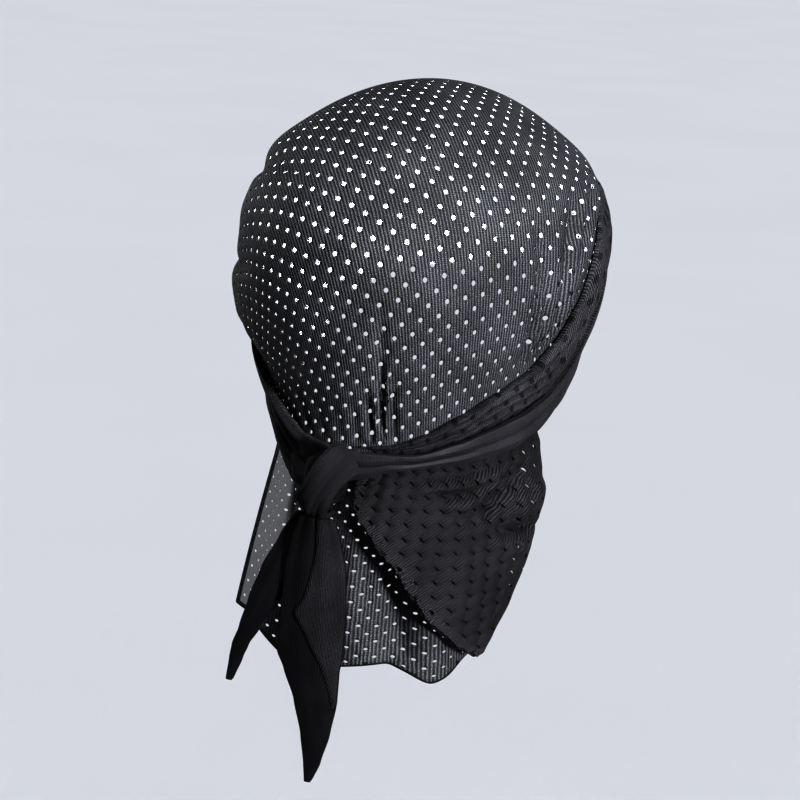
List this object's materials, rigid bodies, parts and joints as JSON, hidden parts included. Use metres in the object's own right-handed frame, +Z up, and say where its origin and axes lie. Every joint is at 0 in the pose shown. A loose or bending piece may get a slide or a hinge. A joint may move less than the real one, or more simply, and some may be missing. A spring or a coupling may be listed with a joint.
{
  "type": "bandana cap",
  "caption": "Pierced knit bandana cap with a smooth headband, tied at the nape, with a hanging nape curtain, a folded flap and two pointed tails.",
  "frame": {"origin": "middle of the head that the cap is drawn over, at the level of the forehead edge of the headband", "axes": "+Z up, the face looks along -Y, the knot is at the back towards +Y, the wearer's right side is -X"},
  "size_m": [0.1612, 0.2086, 0.3055],
  "materials": {
    "pierced_knit": "matte",
    "smooth_knit": "satin"
  },
  "bodies": {
    "root": {"crown": "pierced_knit", "gather_roll": "pierced_knit", "headband": "smooth_knit", "nape_curtain": "pierced_knit", "folded_flap": "pierced_knit", "knot_core": "smooth_knit", "knot_wrap": "pierced_knit", "tail_long": "smooth_knit", "tail_short": "smooth_knit"}
  },
  "joints": []
}
